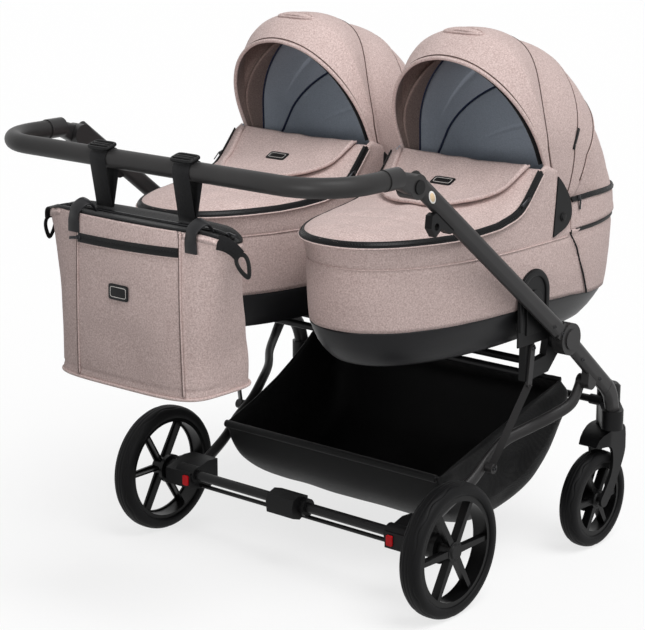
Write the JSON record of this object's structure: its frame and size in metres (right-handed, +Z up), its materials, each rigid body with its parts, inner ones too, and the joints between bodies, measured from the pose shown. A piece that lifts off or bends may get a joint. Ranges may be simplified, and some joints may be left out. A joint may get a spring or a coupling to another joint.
{
  "type": "twin pram",
  "caption": "Side-by-side twin pram: folding tube chassis, swivel front wheels, lift-off carrycots with folding hoods, shopping basket, tilting handle and hanging bag.",
  "frame": {"origin": "centre of the bounding box at the floor, where the wheels stand", "axes": "+X to the pusher's right, +Y the way it travels, +Z up"},
  "size_m": [0.912, 1.1404, 1.1212],
  "materials": {
    "frame_paint": "satin graphite paint",
    "black_paint": "satin black paint",
    "black_plastic": "fine-grained black",
    "wheel_plastic": "semi-gloss black",
    "tyre_foam": "matt foam rubber",
    "red_plastic": "bright red",
    "grey_plastic": "fine-grained dark grey",
    "grip_cover": "dark grey padded grip",
    "melange_cloth": "dusty pink-beige melange",
    "tub_plastic": "textured dark grey",
    "webbing": "black webbing",
    "basket_cloth": "black polyester"
  },
  "bodies": {
    "chassis": {"lower_tube_r": "frame_paint", "lower_tube_l": "frame_paint", "adaptor_post_r": "black_plastic", "adaptor_post_l": "black_plastic", "adaptor_post_mid": "black_plastic", "cross_tube_back": "black_paint", "cross_tube_front": "black_paint", "nose_tube": "black_paint", "swivel_head_r": "black_plastic", "swivel_head_l": "black_plastic", "basket": "basket_cloth"},
    "push_frame": {"push_tube_r": "frame_paint", "push_tube_l": "frame_paint"},
    "rear_legs": {"rear_leg_r": "frame_paint", "rear_leg_l": "frame_paint", "strut_r": "frame_paint", "strut_l": "frame_paint", "axle_housing_r": "black_plastic", "axle_housing_l": "black_plastic", "axle_tube": "black_paint", "brake_rod": "black_paint"},
    "handle": {"handle_arm_r": "grey_plastic", "handle_arm_l": "grey_plastic", "grip": "grip_cover"},
    "bag": {"bag": "melange_cloth", "bag_straps": "webbing"},
    "brake_pedal": {"brake_pedal": "black_plastic"},
    "rear_wheel_r": {"rear_tyre_r": "tyre_foam", "rear_rim_r": "wheel_plastic"},
    "caster_r": {"fork_r": "black_plastic"},
    "front_wheel_r": {"front_tyre_r": "tyre_foam", "front_rim_r": "wheel_plastic"},
    "release_button_r": {"release_button_r": "red_plastic"},
    "handle_button_r": {"handle_button_r": "black_plastic"},
    "fold_trigger_r": {"fold_trigger_r": "black_plastic"},
    "cot_r": {"cot_tub_r": "tub_plastic", "cot_body_r": "melange_cloth", "apron_r": "melange_cloth", "hood_back_r": "melange_cloth", "hood_brackets_r": "grey_plastic"},
    "hood_mid_r": {"hood_mid_r": "melange_cloth"},
    "hood_front_r": {"hood_front_r": "melange_cloth"},
    "rear_wheel_l": {"rear_tyre_l": "tyre_foam", "rear_rim_l": "wheel_plastic"},
    "caster_l": {"fork_l": "black_plastic"},
    "front_wheel_l": {"front_tyre_l": "tyre_foam", "front_rim_l": "wheel_plastic"},
    "release_button_l": {"release_button_l": "red_plastic"},
    "handle_button_l": {"handle_button_l": "black_plastic"},
    "fold_trigger_l": {"fold_trigger_l": "black_plastic"},
    "cot_l": {"cot_tub_l": "tub_plastic", "cot_body_l": "melange_cloth", "apron_l": "melange_cloth", "hood_back_l": "melange_cloth", "hood_brackets_l": "grey_plastic"},
    "hood_mid_l": {"hood_mid_l": "melange_cloth"},
    "hood_front_l": {"hood_front_l": "melange_cloth"}
  },
  "joints": [
    {"name": "push_fold", "type": "hinge", "parent": "chassis", "child": "push_frame", "pos_m": [0, 0.2505, 0.506], "axis": [-1, 0, 0], "range_deg": [0, 75]},
    {"name": "leg_fold", "type": "hinge", "parent": "chassis", "child": "rear_legs", "pos_m": [0, 0.3415, 0.394], "axis": [1, 0, 0], "range_deg": [0, 30]},
    {"name": "handle_tilt", "type": "hinge", "parent": "push_frame", "child": "handle", "pos_m": [0, -0.26, 0.891], "axis": [-1, 0, 0], "range_deg": [-15, 45]},
    {"name": "bag_swing", "type": "hinge", "parent": "handle", "child": "bag", "pos_m": [0, -0.4905, 0.912], "axis": [-1, 0, 0], "range_deg": [-8, 45]},
    {"name": "brake_press", "type": "hinge", "parent": "rear_legs", "child": "brake_pedal", "pos_m": [0, -0.1, 0.1515], "axis": [1, 0, 0], "range_deg": [0, 18]},
    {"name": "rear_wheel_spin_r", "type": "hinge", "parent": "rear_legs", "child": "rear_wheel_r", "pos_m": [0.391, -0.0755, 0.1375], "axis": [1, 0, 0], "continuous": true},
    {"name": "caster_swivel_r", "type": "hinge", "parent": "chassis", "child": "caster_r", "pos_m": [0.387, 0.4895, 0.262], "axis": [0, 0, 1], "continuous": true},
    {"name": "front_wheel_spin_r", "type": "hinge", "parent": "caster_r", "child": "front_wheel_r", "pos_m": [0.387, 0.4395, 0.1055], "axis": [1, 0, 0], "continuous": true},
    {"name": "release_press_r", "type": "slide", "parent": "rear_legs", "child": "release_button_r", "axis": [0, 1, 0], "range_m": [0, 0.004], "stiffness_N_per_m": 600},
    {"name": "handle_press_r", "type": "slide", "parent": "handle", "child": "handle_button_r", "axis": [-1, 0, 0], "range_m": [0, 0.003], "stiffness_N_per_m": 900},
    {"name": "trigger_pull_r", "type": "slide", "parent": "push_frame", "child": "fold_trigger_r", "axis": [0, -0.7871, 0.6169], "range_m": [0, 0.01], "stiffness_N_per_m": 500},
    {"name": "cot_lift_r", "type": "slide", "parent": "chassis", "child": "cot_r", "axis": [0, 0, 1], "range_m": [0, 0.15]},
    {"name": "hood_fold_r", "type": "hinge", "parent": "cot_r", "child": "hood_mid_r", "pos_m": [0.2205, 0.2615, 0.75], "axis": [-1, 0, 0], "range_deg": [0, 27.5]},
    {"name": "hood_open_r", "type": "hinge", "parent": "hood_mid_r", "child": "hood_front_r", "pos_m": [0.2205, 0.2615, 0.75], "axis": [-1, 0, 0], "range_deg": [0, 27.5]},
    {"name": "rear_wheel_spin_l", "type": "hinge", "parent": "rear_legs", "child": "rear_wheel_l", "pos_m": [-0.391, -0.0755, 0.1375], "axis": [1, 0, 0], "continuous": true},
    {"name": "caster_swivel_l", "type": "hinge", "parent": "chassis", "child": "caster_l", "pos_m": [-0.387, 0.4895, 0.262], "axis": [0, 0, 1], "continuous": true},
    {"name": "front_wheel_spin_l", "type": "hinge", "parent": "caster_l", "child": "front_wheel_l", "pos_m": [-0.387, 0.4395, 0.1055], "axis": [1, 0, 0], "continuous": true},
    {"name": "release_press_l", "type": "slide", "parent": "rear_legs", "child": "release_button_l", "axis": [0, 1, 0], "range_m": [0, 0.004], "stiffness_N_per_m": 600},
    {"name": "handle_press_l", "type": "slide", "parent": "handle", "child": "handle_button_l", "axis": [1, 0, 0], "range_m": [0, 0.003], "stiffness_N_per_m": 900},
    {"name": "trigger_pull_l", "type": "slide", "parent": "push_frame", "child": "fold_trigger_l", "axis": [0, -0.7871, 0.6169], "range_m": [0, 0.01], "stiffness_N_per_m": 500},
    {"name": "cot_lift_l", "type": "slide", "parent": "chassis", "child": "cot_l", "axis": [0, 0, 1], "range_m": [0, 0.15]},
    {"name": "hood_fold_l", "type": "hinge", "parent": "cot_l", "child": "hood_mid_l", "pos_m": [-0.2205, 0.2615, 0.75], "axis": [-1, 0, 0], "range_deg": [0, 27.5]},
    {"name": "hood_open_l", "type": "hinge", "parent": "hood_mid_l", "child": "hood_front_l", "pos_m": [-0.2205, 0.2615, 0.75], "axis": [-1, 0, 0], "range_deg": [0, 27.5]}
  ],
  "couplings": [
    {"joint": "leg_fold", "follows": "push_fold", "ratio": 0.4},
    {"joint": "hood_open_r", "follows": "hood_fold_r", "ratio": 1},
    {"joint": "hood_open_l", "follows": "hood_fold_l", "ratio": 1}
  ]
}
